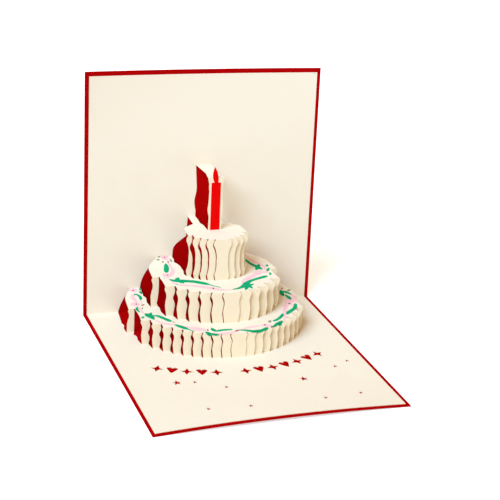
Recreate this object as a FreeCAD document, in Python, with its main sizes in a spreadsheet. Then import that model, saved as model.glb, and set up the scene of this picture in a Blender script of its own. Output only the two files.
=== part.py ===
# Pop-up birthday card, 150 mm square, standing open.
# A dark red folded cover carries one cream sheet, which is cut and folded into a three-tier
# cake with a candle strip on top. A red paper candle with its flame is glued on that strip.
import FreeCAD, Part
import math
import os

import Sketcher

Vector = FreeCAD.Vector

doc = FreeCAD.newDocument("pop_up_card")

# Driving sizes, in millimetres and degrees
sheet = doc.addObject("Spreadsheet::Sheet", "sizes")
SIZES = (
    ("panel_width", 150.0),
    ("panel_length", 150.0),
    ("opening_angle", 95.4),
    ("cover_thickness", 0.35),
    ("spine_radius", 0.6),
    ("paper_thickness", 0.3),
    ("side_border", 2.0),
    ("top_border", 2.2),
    ("front_border", 2.3),
    ("cake_center_depth", 16.0),
    ("bottom_tier_height", 14.8),
    ("middle_tier_height", 18.6),
    ("top_tier_height", 25.5),
    ("candle_strip_height", 32.6),
    ("top_tier_half_width", 19.2),
    ("middle_ledge_width", 22.0),
    ("bottom_ledge_width", 15.0),
    ("bottom_tier_strips", 10),
    ("middle_tier_strips", 6),
    ("top_tier_strips", 4),
    ("bottom_strip_taper", 0.11),
    ("middle_strip_taper", 0.18),
    ("top_strip_taper", 0.22),
    ("bottom_center_width", 9.8),
    ("middle_center_width", 10.2),
    ("top_center_width", 8.6),
    ("bottom_tier_rim", 1.6),
    ("middle_tier_rim", 1.9),
    ("top_tier_rim", 4.8),
    ("bottom_shoulder_width", 5.4),
    ("middle_shoulder_width", 8.2),
    ("top_shoulder_width", 8.0),
    ("bottom_shoulder_length", 16.5),
    ("middle_shoulder_length", 17.5),
    ("top_shoulder_length", 8.4),
    ("bottom_flare_width", 5.2),
    ("middle_flare_width", 4.0),
    ("top_flare_width", 2.0),
    ("top_root_length", 12.5),
    ("wave_width", 1.5),
    ("cut_gap", 0.25),
    ("drop_width", 1.1),
    ("drop_rise", 0.3),
    ("drop_length", 2.0),
    ("strip_wave_width", 0.8),
    ("candle_strip_width", 9.0),
    ("candle_strip_depth", 24.0),
    ("candle_width", 5.8),
    ("candle_height", 29.2),
    ("candle_thickness", 0.3),
    ("candle_clearance", 0.2),
    ("flame_height", 9.6),
    ("flame_lean", 1.1),
    ("flame_left_belly", 1.15),
    ("flame_right_belly", 1.0),
    ("wick_width", 2.1),
    ("ornament_arc_radius", 105.0),
    ("ornament_arc_depth", 91.0),
    ("ornament_pitch", 8.6),
    ("left_ornaments", 5),
    ("left_ornaments_from", -6.2),
    ("right_ornaments", 7),
    ("right_ornaments_from", -0.2),
    ("ornament_radius", 4.0),
    ("heart_width", 6.6),
    ("heart_height", 7.2),
    ("star_radius", 3.0),
    ("small_star_radius", 1.7),
)
for row, (name, value) in enumerate(SIZES, start=1):
    sheet.set("A%d" % row, name)
    sheet.set("B%d" % row, str(value))
    sheet.setAlias("B%d" % row, name)
doc.recompute()


def size(name):
    """A driving size, read from the sheet."""
    return float(sheet.get(name))


lean = math.radians(size("opening_angle") - 90.0)
paper = size("paper_thickness") / math.cos(lean)
cover = size("cover_thickness") / math.cos(lean)
half_cut = size("cut_gap") / 2.0
half_drop = size("drop_width") / 2.0

# The card's own frame. The fold of the spine is the X axis of the sheet, depth runs forward on
# the base, and height runs up the leaning back panel. The origin is under the middle of the card.
panel_rise = size("panel_length") * math.sin(lean)
spine_y = (size("panel_length") - panel_rise - cover - paper) / 2.0
spine_z = size("cover_thickness") + size("paper_thickness")
card_place = FreeCAD.Placement(Vector(0, spine_y, spine_z), FreeCAD.Rotation())


def spot(x, depth, height):
    """A point of the folded card, measured from the spine."""
    return Vector(x, height * math.sin(lean) - depth, height * math.cos(lean))


# An arc that stands off its chord by less than STRAIGHT is drawn straight. No run of a cut is
# shorter than SHORTEST, and points closer than SAME are one point.
STRAIGHT = 0.09
SHORTEST = 0.7
SAME = 1e-6

DOWN = spot(0, 0, -paper)
BACKWARD = spot(0, -paper, 0)


def level(height):
    """Places flat points (x, depth) on a panel that lies parallel to the base."""
    return lambda x, depth: spot(x, depth, height)


def upright(depth):
    """Places flat points (x, height) on a panel that stands parallel to the back."""
    return lambda x, height: spot(x, depth, height)


# Outlines: a run of two points is a straight edge, and a run of three points is an arc
def outline(runs, place):
    """One closed wire from runs of flat points, each starting where the last one ended."""
    edges = []
    for run in runs:
        points = [place(x, along) for x, along in run]
        edge = Part.LineSegment(*points) if len(points) == 2 else Part.Arc(*points)
        edges.append(edge.toShape())
    return Part.Wire(edges)


def curved(start, middle_point, end):
    """An arc through three flat points, or a straight edge where they lie in line."""
    across = (end[0] - start[0]) * (middle_point[1] - start[1])
    across -= (end[1] - start[1]) * (middle_point[0] - start[0])
    if abs(across) < STRAIGHT * math.dist(start, end):
        return [start, end]
    return [start, middle_point, end]


def traced(line, places):
    """Runs along a line given as a function of the place along the sheet."""
    runs = []
    for start, end in zip(places, places[1:]):
        middle_place = (start + end) / 2.0
        runs.append(curved(line(start), line(middle_place), line(end)))
    return runs


def joined(points):
    """Straight runs through the points."""
    return [[start, end] for start, end in zip(points, points[1:])]


def panel(wires, thickness):
    """One flat panel of the sheet, with any further wires as its holes."""
    face = Part.makeFace(wires, "Part::FaceMakerBullseye")
    return face.extrude(thickness)


# Waves of the cuts: a place along the cut, and how far the cut swings outward there, as a share of
# the wave's width. A cake cut is at 0 at the top fold of a strip and at 1 at its bottom fold, and
# starts a little way into the plate. The candle strip's cut is at 0 at the back panel.
WAVES = {
    "bottom": ((-0.15, -0.45), (0.06, 0.3), (0.27, -0.43), (0.62, 0.03), (1.0, -0.4)),
    "middle": ((-0.12, -0.2), (0.08, 0.5), (0.28, -0.3), (0.64, 0.21), (1.0, -0.4)),
    "top": ((-0.08, 0.0), (0.11, 1.0), (0.31, -0.27), (0.72, -0.33), (0.87, 0.37), (1.0, -0.07)),
}
STRIP_WAVE = ((0.0, 0.4), (0.25, -0.75), (0.43, 0.9), (0.51, -0.3), (0.69, -0.1), (0.77, 0.6),
              (0.87, -0.5), (1.0, -0.2))


def turning_places(shares):
    """Where one run of a wave meets the next: at its outer crests, and halfway between crests."""
    inner = shares[1:-1]
    halfway = [(low + high) / 2.0
               for (low, start), (high, end) in zip(inner, inner[1:]) if start != end]
    return [inner[0][0]] + halfway + [inner[-1][0]]


def swing_at(shares, share):
    """The swing of a cut at one place, with a smooth turn between the points of its wave."""
    if share <= shares[0][0]:
        return shares[0][1]
    for (low, start), (high, end) in zip(shares, shares[1:]):
        if share <= high:
            turn = (1.0 - math.cos(math.pi * (share - low) / (high - low))) / 2.0
            return start + (end - start) * turn
    return shares[-1][1]


class Tier:
    """One tier of the cake: its folds, and the cuts between its strips on one side."""

    def __init__(self, name, floor, half_width, root):
        self.floor = floor
        self.height = size(name + "_tier_height")
        self.top = floor + self.height
        self.root = root
        self.shoulder_width = size(name + "_shoulder_width")
        self.shoulder_length = size(name + "_shoulder_length")
        self.flare_width = size(name + "_flare_width")
        self.wave = WAVES[name]
        strips = int(round(size(name + "_tier_strips")))
        pitch = (half_width - size(name + "_center_width") / 2.0) / strips
        self.cuts = [half_width]
        for number in range(strips):
            outer_share = 1.0 - 2.0 * (number + 0.5) / strips
            width = pitch * (1.0 - size(name + "_strip_taper") * outer_share)
            self.cuts.append(self.cuts[-1] - width)
        radius = half_width + size(name + "_tier_rim")
        inner = zip(self.cuts[1:], self.cuts[2:])
        middles = [half_width] + [(outer + next_cut) / 2.0 for outer, next_cut in inner] + [0.0]
        center = size("cake_center_depth")
        self.depths = [center + math.sqrt(radius ** 2 - middle ** 2) for middle in middles]

    def swing(self, share):
        """The swing of a cut at one place along its wave, in millimetres."""
        return swing_at(self.wave, share) * size("wave_width")

    def cut(self, number, flat):
        """Distance of a cut from the middle of the card, at a place along the unfolded sheet."""
        depth = self.depths[number]
        start = self.depths[number - 1] - self.top if number else -self.top
        share = 1.0 - (depth - self.floor - flat) / self.height
        if number:
            return self.cuts[number] + self.swing(share)
        faded = min(1.0, max(0.0, (flat - start) / (depth - self.top - start)))
        swing = self.swing(max(0.0, share)) * faded
        reach = min(1.0, max(0.0, (flat - start - self.root) / self.shoulder_length))
        inset = self.shoulder_width * (1.0 - math.sin(math.pi / 2.0 * reach))
        inset += self.flare_width * (1.0 - (flat - start) / (depth - self.floor - start))
        return self.cuts[0] - inset + swing

    def gap(self, number, flat):
        """Half the width of a cut, which widens to a small drop at its upper end."""
        if not number:
            return half_cut
        start = self.depths[number - 1] - self.top
        near = max(0.0, 1.0 - (flat - start) / size("drop_length"))
        return half_cut + (half_drop - half_cut) * near ** 2

    def places(self, number, start, end):
        """Places along the sheet where the runs of a cut meet, from start to end."""
        fold = self.depths[number] - self.top
        marks = [fold] + [fold + self.height * share for share in turning_places(self.wave)]
        if number:
            marks.append(self.depths[number - 1] - self.top + size("drop_length"))
        else:
            marks += [self.root - self.top + self.shoulder_length * step for step in (0, 0.5, 1)]
        return spaced(marks, start, end)

    def paper_line(self, number, side):
        """The paper's edge beside a cut: side 1 outside it, -1 inside it."""
        return lambda flat: (self.cut(number, flat) + side * self.gap(number, flat), flat)

    def edge(self, number, start, end, side):
        """Runs along the paper's edge beside a cut."""
        return traced(self.paper_line(number, side), self.places(number, start, end))


def spaced(marks, start, end):
    """The marks between start and end, in order and never too close together."""
    kept = [start]
    for mark in sorted(marks):
        if kept[-1] + SHORTEST < mark < end - SHORTEST:
            kept.append(mark)
    return kept + [end]


class CandleStrip:
    """The strip that carries the candle, between two cuts of the same kind."""

    def __init__(self, floor):
        self.floor = floor
        self.height = size("candle_strip_height")
        self.top = floor + self.height
        self.depth = size("candle_strip_depth")
        self.length = self.height + self.depth
        self.half_width = size("candle_strip_width") / 2.0

    def paper_line(self, side):
        """The paper's edge beside the cut: side 1 outside it, -1 inside it."""
        def line(flat):
            swing = swing_at(STRIP_WAVE, (flat + self.top) / self.length)
            return self.half_width + swing * size("strip_wave_width") + side * half_cut, flat

        return line

    def edge(self, start, end, side):
        """Runs along the paper's edge beside the cut."""
        marks = [self.length * share - self.top for share in turning_places(STRIP_WAVE)]
        return traced(self.paper_line(side), spaced(marks, start, end))


def shifted(runs, amount):
    """Runs moved from their place along the sheet to a depth on a level panel."""
    return [[(x, place + amount) for x, place in run] for run in runs]


def risen(runs, depth):
    """Runs turned from their place along the sheet to a height on an upright panel."""
    return [[(x, depth - place) for x, place in run] for run in runs]


def both_sides(half):
    """A right half, from its outer end to the middle, followed by its mirror image."""
    left = [[(-x, along) for x, along in reversed(run)] for run in reversed(half)]
    return half + left


def linked(runs, closed=False):
    """The runs, with a straight edge wherever one of them doesn't start where the last ended."""
    whole = []
    for last, run in zip([runs[-1]] + runs[:-1], runs):
        if (whole or closed) and math.dist(last[-1], run[0]) > SAME:
            whole.append([last[-1], run[0]])
        whole.append(run)
    return whole


top_half = size("top_tier_half_width")
middle_half = top_half + size("middle_ledge_width")
bottom_half = middle_half + size("bottom_ledge_width")
bottom = Tier("bottom", 0.0, bottom_half, 0.0)
middle = Tier("middle", bottom.top, middle_half, 0.0)
top = Tier("top", middle.top, top_half, size("top_root_length"))
tiers = [bottom, middle, top]
candle_strip = CandleStrip(top.top)


def opening_front(tier):
    """Right half of the opening that a tier's strips leave in the panel that they stand on."""
    place = -tier.floor
    runs = []
    for number, depth in enumerate(tier.depths):
        end = depth - paper - tier.floor
        runs += shifted(tier.edge(number, place, end, 1), tier.floor)
        place = end
    runs = linked(runs)
    corner = runs[-1][-1]
    return runs + [[corner, (0.0, corner[1])]]


def candle_opening():
    """Right half of the opening that the candle strip leaves in the top tier's plate."""
    end = candle_strip.depth - paper
    floor = candle_strip.floor
    side = shifted(candle_strip.edge(-floor, end - floor, 1), floor)
    return side + [[side[-1][-1], (0.0, end)]]


def plate_rim(tier):
    """Right half of the outer edge of a tier's plate, from the back panel to the middle."""
    place = -tier.top
    runs = []
    for number, depth in enumerate(tier.depths):
        if number:
            cut = tier.cut(number, place)
            fold = place + tier.top
            crown = (cut, fold - size("drop_rise"))
            runs += joined([(cut + half_drop, fold), crown, (cut - half_drop, fold)])
        runs += shifted(tier.edge(number, place, depth - tier.top, -1), tier.top)
        place = depth - tier.top
    runs = linked(runs)
    corner = runs[-1][-1]
    return runs + [[corner, (0.0, corner[1])]]


def reversed_runs(runs):
    """The same edges, followed the other way."""
    return [list(reversed(run)) for run in reversed(runs)]


def plate(tier, opening):
    """The level panel on top of a tier, open where the next strips were cut out of it."""
    runs = both_sides(plate_rim(tier)) + reversed_runs(both_sides(opening))
    return panel([outline(linked(runs, closed=True), level(tier.top))], DOWN)


def strip_panel(outer, inner, depth):
    """One upright strip between its two side edges, each followed downward."""
    wire = outline(linked(outer + reversed_runs(inner), closed=True), upright(depth))
    return panel([wire], BACKWARD)


def strip_side(line, runs, low, depth):
    """A strip's side edge, from under the plate's fold down to its own lower fold."""
    fold_x = line(low)[0]
    start = risen(runs, depth)
    return [[(fold_x, depth - low - paper), start[0][0]]] + start


def front_strip(tier, number):
    """One upright strip of a tier on the right, or the middle strip if it is the last."""
    depth = tier.depths[number]
    low = depth - tier.top
    high = depth - tier.floor
    sides = []
    for cut, side in ((number, -1), (number + 1, 1)):
        if cut < len(tier.cuts):
            runs = tier.edge(cut, low + 2.0 * paper, high, side)
            sides.append(strip_side(tier.paper_line(cut, side), runs, low, depth))
    if len(sides) == 1:
        sides.append([[(-x, along) for x, along in run] for run in sides[0]])
    return strip_panel(sides[0], sides[1], depth)


def mirrored(shape):
    """The same shape on the left of the card."""
    return shape.mirror(Vector(0, 0, 0), Vector(1, 0, 0))


def back_panel():
    """The back of the sheet, open up to the top of whatever was cut out of it."""
    half_width = size("panel_width") / 2.0 - size("side_border")
    end = size("panel_length") - size("top_border")
    runs = []
    for tier in tiers:
        runs += reversed_runs(risen(tier.edge(0, paper - tier.top, -tier.floor, 1), 0.0))
    roof = candle_strip.top - paper
    runs += reversed_runs(risen(candle_strip.edge(-roof, -candle_strip.floor, 1), 0.0))
    runs = linked(runs)
    hole = both_sides(runs + [[runs[-1][-1], (0.0, roof)]])
    corners = [(-half_width, 0.0), (-half_width, end), (half_width, end), (half_width, 0.0)]
    edges = hole + joined([hole[-1][-1]] + corners + [hole[0][0]])
    return panel([outline(edges, upright(0.0))], BACKWARD)


# Small shapes cut through the base, in their own axes: x to the right, y toward the back.
# STAR_WAIST is a star's inner radius as a share of its outer one. HEART_HIP is the half width of
# a heart halfway down to its point, as a share of what straight sides would give.
STAR_WAIST = 0.42
HEART_HIP = 1.15


def star(points, radius):
    """A star of so many points, with one of them toward the back."""
    corners = []
    for number in range(2 * points + 1):
        reach = radius * (STAR_WAIST if number % 2 else 1.0)
        angle = math.pi / 2.0 + math.pi * number / points
        corners.append((reach * math.cos(angle), reach * math.sin(angle)))
    return joined(corners)


def heart(width, height):
    """A heart with its point down."""
    lobe = width / 4.0
    shoulder = height / 2.0 - lobe
    right = [(0.0, shoulder), (lobe, height / 2.0), (2.0 * lobe, shoulder)]
    middle_height = (shoulder - height / 2.0) / 2.0
    right_side = [right[-1], (lobe * HEART_HIP, middle_height), (0.0, -height / 2.0)]
    left = [[(-x, y) for x, y in reversed(run)] for run in (right_side, right)]
    return [right, right_side] + left


def placed(runs, x, depth, turn):
    """A small shape turned by an angle and set down on the base."""
    cos, sin = math.cos(turn), math.sin(turn)
    return outline(
        [[(x + u * cos - v * sin, depth - u * sin - v * cos) for u, v in run] for run in runs],
        level(0.0),
    )


def ornament_wires():
    """An arc of hearts and four-pointed stars in two groups, counted in pitches from the middle."""
    radius = size("ornament_arc_radius")
    middle_depth = size("ornament_arc_depth")
    wires = []
    for group in ("left_ornaments", "right_ornaments"):
        for number in range(int(size(group))):
            turn = (size(group + "_from") + number) * size("ornament_pitch") / radius
            x = radius * math.sin(turn)
            depth = middle_depth - radius * (1.0 - math.cos(turn))
            if number % 2:
                shape = heart(size("heart_width"), size("heart_height"))
            else:
                shape = star(4, size("ornament_radius"))
            wires.append(placed(shape, x, depth, turn))
    return wires


# Places (x, depth) of the large and the small stars scattered around the ornaments, and places
# (x, distance from the card's front edge) of the small stars along the front
STARS = ((-45.0, 96.5), (27.5, 107.5))
SMALL_STARS = ((-35.0, 98.0), (-19.5, 107.5), (52.0, 96.5), (62.0, 91.5))
FRONT_STARS = ((-38.0, 19.5), (-14.5, 17.0), (30.0, 17.0), (52.5, 19.0))


def base_panel():
    """The base of the sheet, with the cake's opening and the small cut-outs."""
    half_width = size("panel_width") / 2.0 - size("side_border")
    end = size("panel_length") - size("front_border")
    hole = both_sides(opening_front(bottom))
    start = (hole[0][0][0], -paper)
    finish = (hole[-1][-1][0], -paper)
    corners = [(-half_width, -paper), (-half_width, end), (half_width, end), (half_width, -paper)]
    edges = [[start, hole[0][0]]] + hole
    edges += joined([hole[-1][-1], finish] + corners + [start])
    wires = [outline(edges, level(0.0))]
    wires += ornament_wires()
    front = tuple((x, size("panel_length") - distance) for x, distance in FRONT_STARS)
    for places, radius in ((STARS, "star_radius"), (SMALL_STARS + front, "small_star_radius")):
        wires += [placed(star(5, size(radius)), x, depth, 0.0) for x, depth in places]
    return panel(wires, DOWN)


def candle_panels():
    """The candle strip's level roof and its upright front."""
    depth = candle_strip.depth
    low = depth - candle_strip.top
    roof = both_sides(shifted(candle_strip.edge(-candle_strip.top, low, -1), candle_strip.top))
    roof_wire = outline(linked(roof, closed=True), level(candle_strip.top))
    runs = candle_strip.edge(low + 2.0 * paper, depth - candle_strip.floor, -1)
    right = strip_side(candle_strip.paper_line(-1), runs, low, depth)
    left = [[(-x, along) for x, along in run] for run in right]
    return [panel([roof_wire], DOWN), strip_panel(right, left, depth)]


# The cream sheet: every panel between two folds, fused into the one folded sheet
def pop_up_shape():
    panels = [base_panel(), back_panel()]
    openings = [opening_front(middle), opening_front(top), candle_opening()]
    for tier, opening in zip(tiers, openings):
        panels.append(plate(tier, opening))
        last = len(tier.cuts) - 1
        for number in range(last):
            strip = front_strip(tier, number)
            panels += [strip, mirrored(strip)]
        panels.append(front_strip(tier, last))
    panels += candle_panels()
    return panels[0].fuse(panels[1:]).removeSplitter()


pop_up_sheet = doc.addObject("Part::Feature", "pop_up_sheet")
pop_up_sheet.Label = "pop_up_sheet"
pop_up_sheet.Shape = pop_up_shape()
pop_up_sheet.Placement = card_place


def new_body(name):
    """A body of its own, labelled with the name of its file."""
    body = doc.addObject("PartDesign::Body", name)
    body.Label = name
    return body


def sketch_on(body, role, name):
    """An empty sketch on one of the body's own origin planes."""
    sketch = body.newObject("Sketcher::SketchObject", name)
    plane = [item for item in body.Origin.OriginFeatures if item.Role == role][0]
    sketch.AttachmentSupport = [(plane, "")]
    sketch.MapMode = "FlatFace"
    return sketch


def bind(sketch, constraint, expression):
    """Adds a dimension to a sketch and ties it to the sheet."""
    number = sketch.addConstraint(constraint)
    sketch.setExpression("Constraints[%d]" % number, expression)


def segment(start, end):
    """A straight line of a sketch."""
    return Part.LineSegment(Vector(start[0], start[1], 0), Vector(end[0], end[1], 0))


# Cover: one strip of dark red card, folded once along the spine. Its profile is drawn from the
# side, with a round outside at the fold, and padded to the width of the card.
LEAN = "(sizes.opening_angle - 90)"
SLANT = "cos" + LEAN
TURN = "sizes.opening_angle * 1 deg"


def cover_body():
    body = new_body("cover")
    sketch = sketch_on(body, "YZ_Plane", "cover_profile")
    length = size("panel_length")
    inside = spot(0, -paper, -paper)
    outside = spot(0, -paper - cover, -paper - cover)
    crest = spot(0, -paper, length)
    rear = crest + Vector(0, math.cos(lean), -math.sin(lean)) * size("cover_thickness")
    along = Vector(0, math.sin(lean), math.cos(lean))
    bend = size("spine_radius") * math.tan((math.pi / 2.0 - lean) / 2.0)
    up_end = outside + along * bend
    low_end = outside - Vector(0, bend, 0)
    center = low_end + Vector(0, 0, size("spine_radius"))
    floor = inside.z - size("cover_thickness")
    lines = [
        segment((-length, inside.z), (inside.y, inside.z)),
        segment((inside.y, inside.z), (crest.y, crest.z)),
        segment((crest.y, crest.z), (rear.y, rear.z)),
        segment((rear.y, rear.z), (up_end.y, up_end.z)),
        segment((low_end.y, low_end.z), (-length, floor)),
        segment((-length, floor), (-length, inside.z)),
    ]
    circle = Part.Circle(Vector(center.y, center.z, 0), Vector(0, 0, 1), size("spine_radius"))
    lines.append(Part.ArcOfCircle(circle, -math.pi / 2.0, -lean))
    top_inside, back_inside, crest_end, back_outside, bottom, front_end, fold = range(7)
    sketch.addGeometry(lines, False)
    start, end = 1, 2
    for first, second in ((top_inside, back_inside), (back_inside, crest_end),
                          (crest_end, back_outside), (bottom, front_end),
                          (front_end, top_inside)):
        sketch.addConstraint(Sketcher.Constraint("Coincident", first, end, second, start))
    sketch.addConstraint(Sketcher.Constraint("Tangent", fold, start, bottom, start))
    sketch.addConstraint(Sketcher.Constraint("Tangent", fold, end, back_outside, end))
    sketch.addConstraint(Sketcher.Constraint("Horizontal", top_inside))
    sketch.addConstraint(Sketcher.Constraint("Horizontal", bottom))
    sketch.addConstraint(Sketcher.Constraint("Vertical", front_end))
    sketch.addConstraint(Sketcher.Constraint("Parallel", back_inside, back_outside))
    sketch.addConstraint(Sketcher.Constraint("Perpendicular", back_inside, crest_end))
    bind(sketch, Sketcher.Constraint("DistanceX", -1, 1, top_inside, end, inside.y),
         "sizes.paper_thickness * (1 - sin%s) / %s" % (LEAN, SLANT))
    bind(sketch, Sketcher.Constraint("DistanceY", top_inside, end, -1, 1, -inside.z),
         "sizes.paper_thickness")
    bind(sketch, Sketcher.Constraint("DistanceX", top_inside, start, -1, 1, length),
         "sizes.panel_length")
    bind(sketch, Sketcher.Constraint("DistanceY", front_end, start, front_end, end,
                                     size("cover_thickness")), "sizes.cover_thickness")
    bind(sketch, Sketcher.Constraint("Distance", crest_end, size("cover_thickness")),
         "sizes.cover_thickness")
    bind(sketch, Sketcher.Constraint("Distance", back_inside, length + paper),
         "sizes.panel_length + sizes.paper_thickness / " + SLANT)
    bind(sketch, Sketcher.Constraint("Angle", back_inside, start, top_inside, end,
                                     math.radians(size("opening_angle"))), TURN)
    bind(sketch, Sketcher.Constraint("Radius", fold, size("spine_radius")),
         "sizes.spine_radius")
    pad = body.newObject("PartDesign::Pad", "cover_card")
    pad.Profile = sketch
    pad.Midplane = True
    pad.setExpression("Length", "sizes.panel_width")
    body.Placement = card_place
    return body


# Candle: bright red paper, a straight stick with a waist and a pointed flame that leans to the
# left, glued flat on the front of its strip
def flame_side(start, end, belly):
    """One side of the flame, an arc that stands off its chord by the belly."""
    chord = end - start
    outward = Vector(chord.y, -chord.x, 0).normalize()
    return Part.ArcOfCircle(start, start + chord * 0.5 + outward * belly, end)


def flame_radius(lean_sign, belly):
    """The expression for the radius of one side of the flame."""
    run = "(sizes.wick_width / 2 %s sizes.flame_lean)" % lean_sign
    chord = "(sizes.flame_height ^ 2 + %s ^ 2)" % run
    return "(%s / 4 + sizes.%s ^ 2) / (2 * sizes.%s)" % (chord, belly, belly)


def candle_body():
    body = new_body("candle")
    sketch = sketch_on(body, "XZ_Plane", "candle_outline")
    half = size("candle_width") / 2.0
    waist = size("wick_width") / 2.0
    shoulder = size("candle_height")
    tip = Vector(-size("flame_lean"), shoulder + size("flame_height"), 0)
    right = flame_side(Vector(waist, shoulder, 0), tip, size("flame_right_belly"))
    left = flame_side(tip, Vector(-waist, shoulder, 0), size("flame_left_belly"))
    lines = [
        segment((-half, 0), (half, 0)),
        segment((half, 0), (half, shoulder)),
        segment((half, shoulder), (waist, shoulder)),
        right,
        left,
        segment((-waist, shoulder), (-half, shoulder)),
        segment((-half, shoulder), (-half, 0)),
    ]
    foot, right_side, right_step, right_flame, left_flame, left_step, left_side = range(7)
    sketch.addGeometry(lines, False)
    start, end = 1, 2
    for first, second in ((foot, right_side), (right_side, right_step),
                          (right_step, right_flame), (right_flame, left_flame),
                          (left_flame, left_step), (left_step, left_side), (left_side, foot)):
        sketch.addConstraint(Sketcher.Constraint("Coincident", first, end, second, start))
    for line in (foot, right_step, left_step):
        sketch.addConstraint(Sketcher.Constraint("Horizontal", line))
    for line in (right_side, left_side):
        sketch.addConstraint(Sketcher.Constraint("Vertical", line))
    sketch.addConstraint(Sketcher.Constraint("Symmetric", foot, start, foot, end, -1, 1))
    sketch.addConstraint(
        Sketcher.Constraint("Symmetric", right_step, end, left_step, start, -2))
    bind(sketch, Sketcher.Constraint("Distance", foot, 2.0 * half), "sizes.candle_width")
    bind(sketch, Sketcher.Constraint("Distance", right_side, shoulder), "sizes.candle_height")
    bind(sketch, Sketcher.Constraint("DistanceX", left_step, start, right_step, end,
                                     2.0 * waist), "sizes.wick_width")
    bind(sketch, Sketcher.Constraint("DistanceX", right_flame, end, -1, 1,
                                     size("flame_lean")), "sizes.flame_lean")
    bind(sketch, Sketcher.Constraint("DistanceY", right_flame, start, right_flame, end,
                                     size("flame_height")), "sizes.flame_height")
    bind(sketch, Sketcher.Constraint("Radius", right_flame, right.Radius),
         flame_radius("+", "flame_right_belly"))
    bind(sketch, Sketcher.Constraint("Radius", left_flame, left.Radius),
         flame_radius("-", "flame_left_belly"))
    pad = body.newObject("PartDesign::Pad", "candle_paper")
    pad.Profile = sketch
    pad.setExpression("Length", "sizes.candle_thickness")
    seat = spot(0, candle_strip.depth, candle_strip.floor + size("candle_clearance"))
    turn = FreeCAD.Rotation(Vector(1, 0, 0), -math.degrees(lean))
    body.Placement = FreeCAD.Placement(card_place.Base + seat, turn)
    return body


cover_piece = cover_body()
candle = candle_body()
doc.recompute()

pieces = [cover_piece, pop_up_sheet, candle]
for item in doc.Objects:
    if "Invalid" in item.State or "Error" in item.State:
        raise RuntimeError("%s did not rebuild: %s" % (item.Name, item.State))
for piece in pieces:
    if piece.Shape.isNull() or not piece.Shape.isValid():
        raise RuntimeError("%s has no valid shape" % piece.Label)

os.makedirs("parts", exist_ok=True)
for piece in pieces:
    piece.Shape.exportStep(os.path.join("parts", piece.Label + ".step"))
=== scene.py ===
import math

import bmesh
import bpy
from mathutils import Matrix, Vector


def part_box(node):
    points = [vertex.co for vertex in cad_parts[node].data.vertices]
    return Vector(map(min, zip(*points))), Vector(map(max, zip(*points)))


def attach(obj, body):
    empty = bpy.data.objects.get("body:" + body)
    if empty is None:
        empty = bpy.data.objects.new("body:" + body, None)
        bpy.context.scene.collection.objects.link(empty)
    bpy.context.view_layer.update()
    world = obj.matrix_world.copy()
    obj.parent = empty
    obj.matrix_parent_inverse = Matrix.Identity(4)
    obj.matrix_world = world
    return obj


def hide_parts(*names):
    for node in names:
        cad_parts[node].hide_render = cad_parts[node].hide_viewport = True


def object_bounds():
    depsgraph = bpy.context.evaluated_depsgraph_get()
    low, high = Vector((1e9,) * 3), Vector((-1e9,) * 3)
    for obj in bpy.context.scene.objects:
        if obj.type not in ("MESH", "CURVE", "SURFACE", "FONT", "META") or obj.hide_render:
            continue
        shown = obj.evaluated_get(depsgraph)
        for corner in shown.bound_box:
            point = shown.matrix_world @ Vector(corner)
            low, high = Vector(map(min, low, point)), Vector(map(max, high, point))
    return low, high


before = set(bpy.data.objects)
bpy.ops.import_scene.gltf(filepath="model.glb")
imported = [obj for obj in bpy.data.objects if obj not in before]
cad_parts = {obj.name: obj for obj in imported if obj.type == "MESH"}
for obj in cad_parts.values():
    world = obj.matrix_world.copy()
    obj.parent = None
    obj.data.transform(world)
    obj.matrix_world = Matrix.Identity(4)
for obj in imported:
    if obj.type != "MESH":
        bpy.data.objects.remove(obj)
cad_low, cad_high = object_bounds()

# Pop-up birthday card, standing open: a dark red folded cover, one cream sheet cut and folded
# into a three-tier cake with a printed garland, and a glued paper candle.


# Where the card stands
# The card's two panels meet at the spine. Every place on the card is given the way its maker
# would measure it, in millimetres: across, forward along the base, and up the back panel.
MM = 0.001
PANEL = 150.0
LEAN = math.radians(5.4)
BOARD = 0.35
PAPER = 0.3
cover_low, cover_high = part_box("cover")
SPINE = Vector((0.0, cover_low.y + PANEL * MM, cover_low.z + (BOARD + PAPER) * MM))
UP_BACK = Vector((0.0, math.sin(LEAN), math.cos(LEAN)))
BEHIND = Vector((0.0, math.cos(LEAN), -math.sin(LEAN)))


def on_card(x, depth, height):
    """A point of the card in the frame's metres, from millimetres measured at the spine."""
    return SPINE + Vector((x, -depth, 0.0)) * MM + UP_BACK * (height * MM)


# Camera
# A long lens looks down on the open card from the front left, with a slight tilt of the horizon.
AZIMUTH, ELEVATION, ROLL = (math.radians(angle) for angle in (-22.264, 21.956, 4.748))
DISTANCE = 768.4
AIM = SPINE + Vector((11.34, -50.0, 57.43)) * MM
SENSOR = 36.0
FOCAL_SHARE = 2.6106
NEAR_LIMIT = 0.01

back = Vector((math.sin(AZIMUTH) * math.cos(ELEVATION),
               -math.cos(AZIMUTH) * math.cos(ELEVATION), math.sin(ELEVATION)))
right = (-back).cross(Vector((0, 0, 1))).normalized()
upward = right.cross(-back)
turn = (right * math.cos(ROLL) + upward * math.sin(ROLL),
        upward * math.cos(ROLL) - right * math.sin(ROLL), back)
camera = bpy.data.objects.new("camera", bpy.data.cameras.new("camera"))
camera.data.sensor_width = SENSOR
camera.data.lens = SENSOR * FOCAL_SHARE
camera.data.clip_start = NEAR_LIMIT
camera.matrix_world = Matrix.Translation(AIM + back * DISTANCE * MM) @ \
    Matrix(turn).transposed().to_4x4()
bpy.context.scene.collection.objects.link(camera)
bpy.context.scene.camera = camera
bpy.context.scene.view_settings.view_transform = "Standard"


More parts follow.
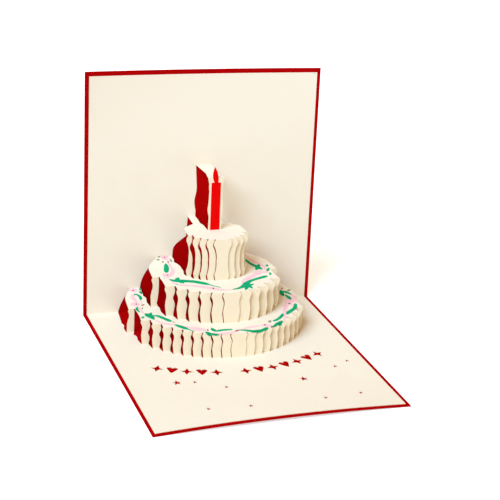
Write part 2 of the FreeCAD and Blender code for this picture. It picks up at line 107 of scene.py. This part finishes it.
# Table top
# A plain white sweep under the card. It takes the card's soft shadow, and shows white to the
# camera and in any gloss.
TABLE_REACH = 4.0
TABLE_SIDES = 64
TABLE_WHITE = (0.9, 0.9, 0.9, 1.0)
TABLE_ROUGHNESS = 0.9
TABLE_GLOSS = 0.1
TABLE_LIFT = 0.6
PURE_WHITE = (1.0, 1.0, 1.0, 1.0)


def new_material(name):
    """A material with its shader, ready for more nodes."""
    material = bpy.data.materials.new(name)
    material.use_nodes = True
    return material, material.node_tree.nodes, material.node_tree.links


def placed_mesh(name, bm):
    """An object made from a finished bmesh."""
    mesh = bpy.data.meshes.new(name)
    bm.to_mesh(mesh)
    bm.free()
    piece = bpy.data.objects.new(name, mesh)
    bpy.context.scene.collection.objects.link(piece)
    return piece


bm = bmesh.new()
bmesh.ops.create_circle(bm, cap_ends=True, segments=TABLE_SIDES, radius=TABLE_REACH)
table_top = placed_mesh("table_top", bm)
table_top.location.z = cad_low.z
material, nodes, links = new_material("white_table")
shader = nodes["Principled BSDF"]
shader.inputs["Base Color"].default_value = TABLE_WHITE
shader.inputs["Roughness"].default_value = TABLE_ROUGHNESS
shader.inputs["Specular IOR Level"].default_value = TABLE_GLOSS
shader.inputs["Emission Color"].default_value = PURE_WHITE
paths = nodes.new("ShaderNodeLightPath")
seen = nodes.new("ShaderNodeMath")
seen.operation = "MAXIMUM"
links.new(paths.outputs["Is Camera Ray"], seen.inputs[0])
links.new(paths.outputs["Is Glossy Ray"], seen.inputs[1])
lift = nodes.new("ShaderNodeMath")
lift.operation = "MULTIPLY"
lift.inputs[1].default_value = TABLE_LIFT
links.new(seen.outputs[0], lift.inputs[0])
links.new(lift.outputs[0], shader.inputs["Emission Strength"])
table_top.data.materials.append(material)


# Daylight
# A large soft window at the left lights the card; the room around it is a little warmer, so the
# shades between the strips turn beige.
ROOM_COLOR = (1.0, 0.68, 0.34, 1.0)
ROOM_LIGHT = 0.53
WINDOW_COLOR = (0.58, 0.76, 1.0)
WINDOW_LIGHT = 3.9
WINDOW_SPREAD = math.radians(34.0)
WINDOW_SIDE, WINDOW_HEIGHT = math.radians(56.0), math.radians(44.0)

world = bpy.data.worlds.new("room")
world.use_nodes = True
bpy.context.scene.world = world
nodes, links = world.node_tree.nodes, world.node_tree.links
room = nodes["Background"]
room.inputs["Color"].default_value = ROOM_COLOR
room.inputs["Strength"].default_value = ROOM_LIGHT
backdrop = nodes.new("ShaderNodeBackground")
backdrop.inputs["Color"].default_value = PURE_WHITE
backdrop.inputs["Strength"].default_value = 1.0
paths = nodes.new("ShaderNodeLightPath")
shown = nodes.new("ShaderNodeMixShader")
links.new(paths.outputs["Is Camera Ray"], shown.inputs["Fac"])
links.new(room.outputs[0], shown.inputs[1])
links.new(backdrop.outputs[0], shown.inputs[2])
links.new(shown.outputs[0], nodes["World Output"].inputs["Surface"])
window = bpy.data.objects.new("window", bpy.data.lights.new("window", "SUN"))
window.data.energy = WINDOW_LIGHT
window.data.color = WINDOW_COLOR
window.data.angle = WINDOW_SPREAD
toward_window = Vector((-math.sin(WINDOW_SIDE) * math.cos(WINDOW_HEIGHT),
                        -math.cos(WINDOW_SIDE) * math.cos(WINDOW_HEIGHT),
                        math.sin(WINDOW_HEIGHT)))
window.rotation_euler = toward_window.to_track_quat("Z", "Y").to_euler()
bpy.context.scene.collection.objects.link(window)


# Cover
# One strip of dark red card, 0.35 mm thick, folded once at the spine. Handling and damp air have
# bowed it a little: the top edge stands back in the middle, and the front edge lifts there.
COVER_RED = (0.460, 0.0015, 0.002)
COVER_DEEP = (0.370, 0.001, 0.001)
BOW_START = 96.0
BACK_BOW = 3.0
FRONT_BOW = 2.2
BOW_STEP = 9.0
HALF_WIDTH = PANEL / 2.0
CREASE = math.radians(24.0)
SAME_PLACE = 1e-6
EDGE_MARGIN = 1.0
CARD_GRAIN, CARD_TOOTH, CARD_GLOSS = 1900.0, 0.00006, 0.0


def eased(share):
    """A smooth rise from 0 to 1."""
    share = min(1.0, max(0.0, share))
    return share * share * (3.0 - 2.0 * share)


def bow_shift(place):
    """How far a point of the card is moved by the bow of the paper."""
    local = place - SPINE
    across = local.x / (HALF_WIDTH * MM)
    crown = 1.0 - across * across
    rise = local.dot(UP_BACK) / MM
    depth = (-local.y + rise * MM * math.sin(LEAN)) / MM
    shift = Vector((0.0, 0.0, 0.0))
    if rise > BOW_START:
        shift += BEHIND * (BACK_BOW * MM * crown * eased((rise - BOW_START) / (PANEL - BOW_START)))
    if depth > BOW_START and rise < BOW_START:
        share = eased((depth - BOW_START) / (PANEL - BOW_START))
        shift += Vector((0.0, 0.0, FRONT_BOW * MM * crown * share))
    return shift


def bowed_copy(node):
    """The piece's own mesh, cut finely enough to bend, and bowed."""
    bm = bmesh.new()
    bm.from_mesh(node.data)
    bmesh.ops.remove_doubles(bm, verts=bm.verts, dist=SAME_PLACE)
    planes = []
    steps = int(HALF_WIDTH // BOW_STEP)
    for number in range(-steps, steps + 1):
        planes.append((Vector((number * BOW_STEP * MM, 0, 0)), Vector((1, 0, 0))))
    reach = BOW_START
    while reach < PANEL - EDGE_MARGIN:
        planes.append((on_card(0, reach, 0), Vector((0, 1, 0))))
        planes.append((on_card(0, 0, reach), Vector((0, 0, 1))))
        reach += BOW_STEP / 2.0
    for place, facing in planes:
        everything = bm.verts[:] + bm.edges[:] + bm.faces[:]
        bmesh.ops.bisect_plane(bm, geom=everything, dist=SAME_PLACE, plane_co=place, plane_no=facing)
    for vert in bm.verts:
        vert.co += bow_shift(vert.co)
    bm.normal_update()
    for face in bm.faces:
        face.smooth = True
    for edge in bm.edges:
        edge.smooth = edge.calc_face_angle(math.pi) < CREASE
    return bm


PAPER_ROUGHNESS = 0.88
PAPER_GLOSS = 0.03
PAPER_CLOUD = 90.0
CLOUD_DETAIL, CLOUD_ROUGHNESS = 6.0, 0.62
FIBER_DETAIL = 4.0
SHADE_END, TONE_END = 0.35, 0.65
TOOTH_STRENGTH = 0.5


def paper_finish(name, tone, shade, grain, depth, cloud_scale=PAPER_CLOUD, gloss=PAPER_GLOSS):
    """Uncoated paper: a slow cloud of two tones, and the fine tooth of its fibers."""
    material, nodes, links = new_material(name)
    shader = nodes["Principled BSDF"]
    shader.inputs["Roughness"].default_value = PAPER_ROUGHNESS
    shader.inputs["Specular IOR Level"].default_value = gloss
    place = nodes.new("ShaderNodeTexCoord")
    cloud = nodes.new("ShaderNodeTexNoise")
    cloud.inputs["Scale"].default_value = cloud_scale
    cloud.inputs["Detail"].default_value = CLOUD_DETAIL
    cloud.inputs["Roughness"].default_value = CLOUD_ROUGHNESS
    links.new(place.outputs["Object"], cloud.inputs["Vector"])
    fibers = nodes.new("ShaderNodeTexNoise")
    fibers.inputs["Scale"].default_value = grain
    fibers.inputs["Detail"].default_value = FIBER_DETAIL
    links.new(place.outputs["Object"], fibers.inputs["Vector"])
    both = nodes.new("ShaderNodeMath")
    both.operation = "ADD"
    links.new(cloud.outputs["Fac"], both.inputs[0])
    links.new(fibers.outputs["Fac"], both.inputs[1])
    tones = nodes.new("ShaderNodeValToRGB")
    tones.color_ramp.elements[0].position = SHADE_END
    tones.color_ramp.elements[0].color = (*shade, 1.0)
    tones.color_ramp.elements[1].position = TONE_END
    tones.color_ramp.elements[1].color = (*tone, 1.0)
    half = nodes.new("ShaderNodeMath")
    half.operation = "MULTIPLY"
    half.inputs[1].default_value = 0.5
    links.new(both.outputs[0], half.inputs[0])
    links.new(half.outputs[0], tones.inputs["Fac"])
    links.new(tones.outputs["Color"], shader.inputs["Base Color"])
    tooth = nodes.new("ShaderNodeBump")
    tooth.inputs["Strength"].default_value = TOOTH_STRENGTH
    tooth.inputs["Distance"].default_value = depth
    links.new(fibers.outputs["Fac"], tooth.inputs["Height"])
    links.new(tooth.outputs["Normal"], shader.inputs["Normal"])
    return material


cover = placed_mesh("cover_card", bowed_copy(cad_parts["cover"]))
cover.data.materials.append(paper_finish("red_card", COVER_RED, COVER_DEEP, CARD_GRAIN, CARD_TOOTH,
                                         gloss=CARD_GLOSS))
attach(cover, "root")
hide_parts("cover")


# Cream sheet
# One sheet of cream paper, glued inside the cover a hair askew, so the red border varies. The
# cake's tiers are cut and folded out of it. Every cut edge is coloured a darker brown: partly the
# scorch of the laser, partly painted warm shade in the slits between the strips.
# The strips that stand forward of the spine are given a warmer, deeper cream than the rest of
# the sheet: painted warm shade, standing in for the light that bounces between the strips.
CREAM = (0.930, 0.865, 0.710)
CREAM_SHADE = (0.918, 0.842, 0.672)
# Painted warm shade: the standing strips' cream, warmer than the sheet's own cream.
STRIP_CREAM_PAINTED_WARM_SHADE = (0.940, 0.838, 0.630)
STRIP_DEEP_PAINTED_WARM_SHADE = (0.925, 0.812, 0.580)
# Cut edges: laser scorch together with painted warm shade in the slits.
SCORCH_AND_PAINTED_SHADE = (0.760, 0.600, 0.370)
SCORCH_AND_PAINTED_SHADE_DEEP = (0.660, 0.480, 0.270)
PAPER_GRAIN, PAPER_TOOTH = 2600.0, 0.00004
EDGE_GRAIN, EDGE_TOOTH = 4000.0, 0.00003
FLAT_PAPER, CUT_EDGE, STRIP_PAPER_PAINTED_SHADE = range(3)
FLAT = 0.985
STRIP_START = 12.0
EDGE_ZONE = 147.0
SIDE_ZONE = 72.5
TOP_TRIM, FRONT_TRIM = 0.6, 0.3
LEFT_TRIM, LEFT_AT_TOP, LEFT_AT_FRONT = 0.22, 0.65, -0.18
RIGHT_TRIM, RIGHT_AT_TOP, RIGHT_AT_FRONT = 0.45, 0.25, 0.4

bm = bowed_copy(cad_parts["pop_up_sheet"])
for vert in bm.verts:
    place = (vert.co - SPINE) / MM
    rise, depth = max(0.0, place.dot(UP_BACK)), max(0.0, -place.y)
    up, forward = rise / PANEL, depth / PANEL
    if place.x < -SIDE_ZONE:
        vert.co.x += MM * (LEFT_TRIM + (LEFT_AT_TOP - LEFT_TRIM) * up
                           + (LEFT_AT_FRONT - LEFT_TRIM) * forward)
    elif place.x > SIDE_ZONE:
        vert.co.x -= MM * (RIGHT_TRIM + (RIGHT_AT_TOP - RIGHT_TRIM) * up
                           + (RIGHT_AT_FRONT - RIGHT_TRIM) * forward)
    if rise > EDGE_ZONE:
        vert.co -= UP_BACK * (TOP_TRIM * MM)
    elif depth > EDGE_ZONE:
        vert.co.y += FRONT_TRIM * MM
for face in bm.faces:
    level = abs(face.normal.z) > FLAT
    upright = abs(face.normal.dot(BEHIND)) > FLAT
    standing = (SPINE - face.calc_center_median()).y > STRIP_START * MM
    # Upright faces forward of the spine take the cream with the painted warm shade.
    if upright and standing:
        face.material_index = STRIP_PAPER_PAINTED_SHADE
    elif upright or level:
        face.material_index = FLAT_PAPER
    else:
        face.material_index = CUT_EDGE
paper_sheet = placed_mesh("paper_sheet", bm)
paper_sheet.data.materials.append(
    paper_finish("cream_paper", CREAM, CREAM_SHADE, PAPER_GRAIN, PAPER_TOOTH))
paper_sheet.data.materials.append(
    # Cut edges, darker brown: laser scorch and painted shade.
    paper_finish("cut_edge_scorch_and_painted_shade", SCORCH_AND_PAINTED_SHADE, SCORCH_AND_PAINTED_SHADE_DEEP, EDGE_GRAIN, EDGE_TOOTH))
# The standing strips' cream, with painted warm shade.
paper_sheet.data.materials.append(
    paper_finish("cream_strips_painted_warm_shade", STRIP_CREAM_PAINTED_WARM_SHADE, STRIP_DEEP_PAINTED_WARM_SHADE, PAPER_GRAIN, PAPER_TOOTH))
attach(paper_sheet, "root")
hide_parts("pop_up_sheet")


# Printed garland
# Pink ribbon, green vines and small blossoms, printed on the flat sheet before it is cut and
# folded, so the ink follows the paper over its folds. Each ink on each tier is one piece, made of
# closed films that lie on the paper: strokes, leaves, petals and dots.
CAKE_CENTER = 16.0
INK_SINK = 0.01
INK_SPREAD = 1.3
INK_STEP = 0.004
CUT_INSET = 0.2
BEYOND = 200.0
SPAN_STEPS = 6
DOT_SIDES = 14
LEAF_SHARES = (0.0, 0.15, 0.35, 0.55, 0.75, 0.9, 1.0)
LEAF_BELLY = 0.8
STEM_WIDTH = 0.2
PETALS = 5
PETAL_TURN = 0.4
PETAL_PLACE = 0.55
PETAL_RADIUS = 0.48
SAME_SPOT = 1e-5
UPWARD = Vector((0.0, 0.0, 1.0))


def tier_lanes(half_width, rim, strips, center_width, taper, swing):
    """Every strip of a tier, as its two sides and the depth where it folds down."""
    radius = half_width + rim
    pitch = (half_width - center_width / 2.0) / strips
    cuts = [half_width]
    for number in range(strips):
        outer_share = 1.0 - 2.0 * (number + 0.5) / strips
        cuts.append(cuts[-1] - pitch * (1.0 - taper * outer_share))
    lanes = [(-cuts[-1] - swing, cuts[-1] + swing, CAKE_CENTER + radius)]
    for outer, inner in zip(cuts, cuts[1:]):
        middle = half_width if outer == half_width else (outer + inner) / 2.0
        fold = CAKE_CENTER + math.sqrt(radius ** 2 - middle ** 2)
        lanes.append((inner + swing, outer + swing, fold))
        lanes.append((-outer - swing, -inner - swing, fold))
    return lanes


def through(points):
    """A smooth line through the points (x, along, width) of the flat sheet."""
    padded = [points[0]] + list(points) + [points[-1]]
    line = []
    for first, start, end, last in zip(padded, padded[1:], padded[2:], padded[3:]):
        for step in range(SPAN_STEPS):
            t = step / SPAN_STEPS
            line.append([0.5 * (2 * b + (c - a) * t + (2 * a - 5 * b + 4 * c - d) * t * t
                                + (3 * b - a - 3 * c + d) * t ** 3)
                         for a, b, c, d in zip(first, start, end, last)])
    return line + [list(points[-1])]


def stroke(points):
    """A flat stroke of ink that swells and thins along its line."""
    line = through(points)
    flat = bmesh.new()
    pairs = []
    for number, (x, along, width) in enumerate(line):
        before, after = line[max(0, number - 1)], line[min(len(line) - 1, number + 1)]
        way = Vector((after[0] - before[0], after[1] - before[1])).normalized()
        out = Vector((-way.y, way.x)) * (INK_SPREAD * width / 2.0)
        pairs.append([flat.verts.new((x + side * out.x, along + side * out.y, 0.0))
                      for side in (1, -1)])
    for (left, right), (next_left, next_right) in zip(pairs, pairs[1:]):
        flat.faces.new((left, next_left, next_right, right))
    return flat


def leaf(x, along, angle, length, width):
    """A flat pointed leaf that starts at its stem."""
    way = Vector((math.cos(math.radians(angle)), math.sin(math.radians(angle)))) * length
    return stroke([(x + way.x * share, along + way.y * share,
                    max(STEM_WIDTH, width * math.sin(math.pi * share ** LEAF_BELLY)))
                   for share in LEAF_SHARES])


def dot(x, along, radius):
    """A flat round dot."""
    flat = bmesh.new()
    flat.faces.new([flat.verts.new((x + radius * math.cos(turn * math.tau / DOT_SIDES),
                                    along + radius * math.sin(turn * math.tau / DOT_SIDES), 0.0))
                    for turn in range(DOT_SIDES)])
    return flat


def petals(x, along, reach):
    """The five round petals of a blossom."""
    turns = [petal * math.tau / PETALS + PETAL_TURN for petal in range(PETALS)]
    return [dot(x + reach * PETAL_PLACE * math.cos(turn), along + reach * PETAL_PLACE * math.sin(turn),
                reach * PETAL_RADIUS) for turn in turns]


def film(bm, flat, place, outward, lift):
    """A thin closed film of ink over one flat patch, on the side of the paper that shows."""
    high, low = {}, {}
    for vert in flat.verts:
        spot = place(vert.co.x, vert.co.y)
        high[vert] = bm.verts.new(spot + outward * (lift * MM))
        low[vert] = bm.verts.new(spot - outward * (INK_SINK * MM))
    for face in flat.faces:
        bm.faces.new([high[vert] for vert in face.verts])
        bm.faces.new([low[vert] for vert in reversed(face.verts)])
    for edge in flat.edges:
        if edge.is_boundary:
            start, end = edge.verts
            bm.faces.new((high[start], high[end], low[end], low[start]))


def lay_ink(bm, flat, tier, lift):
    """Lays one flat mark on a tier's plate, and over the folds at its back and its rim."""
    height, lanes = tier
    places = [vert.co for vert in flat.verts]
    left, right = min(place.x for place in places), max(place.x for place in places)
    near, far = min(place.y for place in places), max(place.y for place in places)
    lanes = [lane for lane in lanes if lane[0] < right and lane[1] > left]
    if near >= 0.0 and all(far <= fold for _, _, fold in lanes):
        film(bm, flat, lambda x, along: on_card(x, along, height), UPWARD, lift)
        return
    for low, high, fold in lanes:
        for start, end, inset, place, outward in (
                (-BEYOND, 0.0, 0.0, lambda x, along: on_card(x, 0.0, height - along), -BEHIND),
                (0.0, fold, 0.0, lambda x, along: on_card(x, along, height), UPWARD),
                (fold, BEYOND, CUT_INSET,
                 lambda x, along: on_card(x, fold, height + fold - along), -BEHIND)):
            patch = flat.copy()
            for limit, facing in (((low + inset, 0, 0), (-1, 0, 0)),
                                  ((high - inset, 0, 0), (1, 0, 0)),
                                  ((0, start, 0), (0, -1, 0)), ((0, end, 0), (0, 1, 0))):
                whole = patch.verts[:] + patch.edges[:] + patch.faces[:]
                bmesh.ops.bisect_plane(patch, geom=whole, dist=SAME_SPOT, plane_co=limit,
                                       plane_no=facing, clear_outer=True)
            film(bm, patch, place, outward, lift)
            patch.free()


def printed(name, material, tier, lift, marks):
    """All the marks of one ink on one tier, as one piece. Each lies a hair above the last."""
    bm = bmesh.new()
    for number, flat in enumerate(marks):
        lay_ink(bm, flat, tier, lift + number * INK_STEP)
        flat.free()
    bmesh.ops.recalc_face_normals(bm, faces=bm.faces)
    piece = placed_mesh(name, bm)
    piece.data.materials.append(material)
    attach(piece, "root")


# The four inks, and how high above the paper each one lies
INK_CLOUD = 420.0
PINK, PALE_PINK = (0.975, 0.540, 0.610), (0.980, 0.700, 0.700)
GREEN, DEEP_GREEN = (0.010, 0.500, 0.225), (0.006, 0.300, 0.120)
FADED, DEEP_FADED = (0.360, 0.420, 0.280), (0.260, 0.240, 0.150)
BERRY, DEEP_BERRY = (0.340, 0.040, 0.070), (0.220, 0.020, 0.035)
PINK_LIFT, FADED_LIFT, GREEN_LIFT, BERRY_LIFT = 0.01, 0.1, 0.15, 0.25


def ink(name, tone, second_tone):
    """Ink on the cream paper, in a fine cloud of two tones, with the paper's tooth."""
    return paper_finish(name, tone, second_tone, PAPER_GRAIN, PAPER_TOOTH, INK_CLOUD)


pink_ink = ink("pink_ink", PINK, PALE_PINK)
green_ink = ink("green_ink", GREEN, DEEP_GREEN)
faded_ink = ink("faded_ink", FADED, DEEP_FADED)
berry_ink = ink("berry_ink", BERRY, DEEP_BERRY)

# The two printed tiers: the height of the plate, and its strips
middle_tier = (33.4, tier_lanes(half_width=41.2, rim=1.9, strips=6, center_width=10.2,
                                taper=0.18, swing=0.45))
bottom_tier = (14.8, tier_lanes(half_width=56.2, rim=1.6, strips=10, center_width=9.8,
                                taper=0.11, swing=0.3))

printed("middle_ribbon_print", pink_ink, middle_tier, PINK_LIFT, [
    stroke(((-23.9, 6.5, 0.8), (-24.2, 13.0, 1.2), (-24.4, 19.0, 1.5), (-26.0, 24.0, 2.2),
            (-28.5, 27.0, 2.4))),
    stroke(((-31.5, 30.0, 1.0), (-29.8, 38.0, 0.8), (-27.5, 42.0, 1.4), (-21.0, 44.3, 1.8),
            (-14.5, 47.3, 2.6), (-10.0, 50.3, 3.4), (-6.0, 52.8, 2.4), (-2.0, 54.2, 1.2),
            (2.0, 54.4, 0.8))),
    stroke(((10.8, 46.6, 1.0), (13.6, 43.2, 2.4), (17.5, 39.9, 2.6), (21.5, 37.0, 2.6),
            (25.0, 34.4, 3.4), (28.0, 32.3, 3.2), (31.0, 33.0, 2.0), (32.8, 34.5, 0.8))),
    stroke(((32.3, 30.5, 1.2), (32.9, 25.5, 1.8), (32.2, 21.0, 2.0), (30.2, 17.5, 2.4),
            (28.7, 13.5, 1.8), (28.0, 9.0, 1.2), (28.3, 4.5, 1.0), (29.4, 0.6, 0.8))),
    *petals(-23.7, 1.4, 2.9),
    *petals(-30.4, 27.0, 3.1)])
printed("middle_vine_print", green_ink, middle_tier, GREEN_LIFT, [
    stroke(((-30.6, 33.2, 0.5), (-29.2, 35.2, 2.0), (-26.0, 36.6, 3.0), (-23.0, 37.2, 3.0),
            (-20.0, 38.1, 2.6), (-16.5, 39.6, 2.8), (-13.3, 41.9, 2.8), (-10.8, 43.9, 2.2),
            (-9.6, 45.0, 1.0), (-7.0, 48.0, 0.6), (-4.2, 50.2, 0.4))),
    leaf(-27.2, 36.5, -64.0, 5.9, 2.2),
    leaf(-25.5, 37.0, 66.0, 3.8, 2.4),
    stroke(((-25.9, 9.6, 0.4), (-26.5, 12.5, 1.8), (-27.4, 16.0, 2.4), (-28.5, 19.5, 2.4),
            (-29.3, 22.0, 1.8), (-29.5, 23.2, 0.6))),
    stroke(((2.0, 54.3, 0.6), (5.0, 53.7, 1.2), (8.0, 52.4, 1.8), (10.8, 50.2, 2.6),
            (13.0, 47.7, 2.8), (15.5, 45.4, 2.2), (18.5, 43.5, 1.8), (22.0, 42.0, 1.8),
            (26.0, 40.5, 2.0), (28.6, 39.5, 1.8), (29.8, 38.9, 0.6))),
    leaf(12.5, 50.5, 118.0, 7.2, 1.9),
    leaf(12.8, 50.0, 72.5, 5.6, 1.9),
    leaf(12.5, 50.8, -20.0, 5.2, 1.8),
    stroke(((25.0, 8.2, 0.6), (25.4, 12.5, 1.5), (26.0, 17.0, 1.5), (27.0, 20.8, 1.9),
            (28.6, 24.0, 2.6), (29.0, 26.5, 2.4), (28.8, 28.3, 1.2))),
    leaf(29.3, 25.5, -69.0, 5.3, 1.8),
    leaf(28.6, 25.5, 123.0, 4.5, 1.7),
    leaf(29.2, 25.5, 74.0, 4.0, 2.0),
    leaf(35.0, 25.3, -69.0, 3.6, 1.3),
    leaf(32.3, 32.4, -58.0, 6.2, 1.4),
    leaf(32.2, 38.2, -70.0, 4.4, 1.1)])
printed("middle_faded_print", faded_ink, middle_tier, FADED_LIFT, [
    leaf(-29.6, 4.0, -52.0, 3.0, 1.6),
    leaf(-28.0, -0.6, -10.0, 1.6, 0.8),
    leaf(-26.4, 5.4, 107.0, 3.1, 0.9),
    leaf(-23.2, 5.6, 100.0, 3.9, 0.7),
    leaf(-20.9, 3.0, 98.0, 5.5, 0.9),
    dot(-28.6, 41.3, 0.5),
    dot(-33.2, 31.2, 0.4)])
printed("middle_dot_print", berry_ink, middle_tier, BERRY_LIFT, [
    dot(-23.9, 1.0, 0.5),
    dot(-30.2, 27.1, 0.45),
    dot(-9.0, 50.7, 0.6),
    dot(28.2, 4.6, 0.3)])

printed("bottom_ribbon_print", pink_ink, bottom_tier, PINK_LIFT, [
    stroke(((-46.0, 8.0, 0.8), (-47.3, 12.5, 2.0), (-47.4, 17.0, 1.8), (-47.0, 20.5, 1.2))),
    stroke(((-44.6, 18.5, 0.4), (-44.2, 21.5, 0.7), (-45.2, 23.6, 0.4))),
    stroke(((-47.5, 27.5, 0.8), (-47.8, 33.0, 1.2), (-47.3, 37.0, 0.6))),
    stroke(((-43.0, 47.5, 0.6), (-40.5, 51.5, 1.4), (-37.0, 53.9, 1.7), (-33.5, 55.6, 1.0),
            (-29.5, 58.3, 0.8), (-25.5, 61.3, 2.4), (-22.5, 63.4, 3.8), (-19.5, 65.2, 3.0),
            (-17.0, 66.3, 1.2))),
    stroke(((-13.5, 71.6, 0.8), (-10.0, 72.0, 2.0), (-6.0, 72.2, 2.2), (-2.5, 71.2, 1.6),
            (0.5, 70.0, 1.2), (5.0, 68.4, 1.3), (8.5, 67.3, 1.6), (12.5, 66.6, 1.5),
            (16.0, 66.4, 1.0))),
    stroke(((16.5, 66.0, 0.8), (19.0, 66.6, 3.0), (21.3, 68.0, 2.8), (22.6, 69.2, 0.8))),
    stroke(((32.6, 62.2, 0.6), (34.6, 59.0, 1.4), (36.4, 54.0, 1.5), (38.0, 50.0, 1.8),
            (40.3, 45.5, 2.0), (42.6, 41.5, 2.2), (45.0, 38.2, 3.0), (48.0, 36.8, 3.6),
            (50.4, 35.5, 3.0), (51.4, 31.8, 2.2), (52.2, 28.0, 1.6), (52.4, 24.8, 0.6))),
    leaf(45.0, 38.5, 78.0, 5.5, 2.6),
    leaf(45.4, 38.0, -80.0, 5.0, 2.0),
    *petals(-44.2, 3.1, 3.0),
    *petals(-48.6, 23.4, 3.1)])
printed("bottom_vine_print", green_ink, bottom_tier, GREEN_LIFT, [
    leaf(-39.9, 4.2, -83.0, 4.0, 1.1),
    leaf(-40.6, 5.0, 93.0, 5.0, 1.4),
    stroke(((-45.6, 10.6, 0.4), (-44.9, 9.3, 0.9), (-43.7, 10.2, 1.2), (-43.0, 13.0, 1.4),
            (-43.2, 15.8, 1.4), (-44.0, 17.8, 0.5))),
    stroke(((-48.5, 27.3, 0.5), (-49.5, 29.5, 1.2), (-49.8, 32.0, 1.2), (-49.3, 34.8, 0.5))),
    stroke(((-46.8, 37.2, 0.6), (-45.6, 39.4, 3.0), (-44.5, 41.8, 3.0), (-44.0, 44.4, 1.8),
            (-43.7, 46.2, 0.5))),
    leaf(-45.0, 40.5, -58.0, 4.6, 2.0),
    leaf(-50.4, 43.2, -48.0, 3.1, 1.3),
    stroke(((-43.6, 41.2, 0.8), (-41.8, 41.2, 1.0), (-40.2, 41.9, 1.8), (-38.8, 43.8, 1.9),
            (-37.3, 46.2, 1.8), (-35.9, 48.6, 2.1), (-35.0, 50.0, 1.6), (-34.5, 50.8, 0.6))),
    stroke(((-33.8, 55.2, 0.8), (-32.3, 57.2, 1.9), (-30.4, 59.6, 2.1), (-28.9, 61.6, 2.0),
            (-28.2, 62.6, 0.9), (-26.4, 64.8, 0.5), (-24.8, 65.8, 0.3))),
    stroke(((-13.8, 63.6, 0.4), (-13.9, 65.6, 1.8), (-13.3, 67.4, 1.8), (-12.9, 68.6, 0.8))),
    stroke(((-13.2, 68.5, 0.6), (-11.0, 68.1, 1.4), (-8.0, 67.7, 1.5), (-5.0, 67.9, 1.3),
            (-2.3, 67.9, 0.6))),
    stroke(((-19.6, 68.6, 0.6), (-18.6, 69.2, 1.8), (-17.8, 70.6, 2.0), (-16.8, 72.0, 0.8))),
    stroke(((-18.6, 69.4, 0.8), (-16.6, 71.2, 1.5), (-14.4, 72.2, 1.3), (-12.4, 72.7, 0.4))),
    stroke(((1.2, 69.7, 0.6), (4.0, 70.4, 1.2), (6.3, 71.6, 1.9), (9.2, 72.7, 1.7),
            (12.4, 72.7, 1.6), (14.5, 72.4, 1.5), (16.4, 71.4, 1.5), (18.1, 70.5, 1.6),
            (19.3, 69.9, 0.8))),
    stroke(((25.7, 62.0, 0.8), (27.5, 61.3, 1.4), (30.3, 59.4, 1.4), (32.6, 57.2, 1.5),
            (34.6, 54.8, 1.3), (35.4, 53.3, 0.5))),
    stroke(((22.8, 69.0, 0.6), (25.0, 67.7, 1.5), (27.4, 66.0, 2.2), (29.6, 64.4, 1.9),
            (31.2, 62.8, 0.6))),
    leaf(27.6, 65.0, 52.0, 2.8, 2.2),
    stroke(((37.6, 54.6, 0.9), (39.6, 52.2, 2.0), (42.5, 50.0, 2.0), (45.0, 47.9, 1.8),
            (47.0, 45.0, 1.8), (48.3, 42.2, 1.5), (48.8, 41.0, 0.5))),
    stroke(((47.2, 20.0, 0.5), (46.4, 23.5, 2.0), (45.9, 26.5, 2.0), (45.4, 28.9, 0.6))),
    stroke(((48.0, 21.8, 0.6), (49.6, 23.8, 2.0), (50.8, 26.4, 1.2), (51.3, 27.8, 0.4))),
    stroke(((47.4, 27.4, 0.6), (47.9, 30.2, 1.8), (48.2, 33.0, 1.7), (48.0, 34.8, 0.5)))])
printed("bottom_faded_print", faded_ink, bottom_tier, FADED_LIFT, [
    leaf(22.4, 63.4, -50.0, 3.6, 1.5),
    leaf(48.5, 18.8, -58.0, 2.6, 1.0),
    leaf(51.2, 22.2, -40.0, 3.2, 1.5),
    leaf(-17.2, 66.9, -75.0, 2.6, 0.8),
    leaf(-33.9, 51.2, 50.0, 1.6, 0.8),
    leaf(-46.6, 30.9, -70.0, 2.4, 0.8)])
printed("bottom_dot_print", berry_ink, bottom_tier, BERRY_LIFT, [
    dot(-44.4, 3.4, 0.55),
    dot(-48.1, 23.4, 0.5),
    leaf(-45.6, 25.8, -25.0, 2.3, 0.7),
    leaf(-1.6, 70.8, -25.0, 3.2, 0.7),
    dot(18.8, 66.1, 0.5),
    dot(22.2, 68.8, 0.35),
    dot(45.0, 40.4, 0.6)])


# Candle
# Bright red paper, cut in one with its flame and glued flat on the front of the strip that stands
# on the top tier.
CANDLE_RED = (0.860, 0.002, 0.002)
CANDLE_DEEP = (0.760, 0.001, 0.001)

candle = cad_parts["candle"]
candle.data.materials.clear()
candle.data.materials.append(
    paper_finish("red_paper", CANDLE_RED, CANDLE_DEEP, PAPER_GRAIN, PAPER_TOOTH))
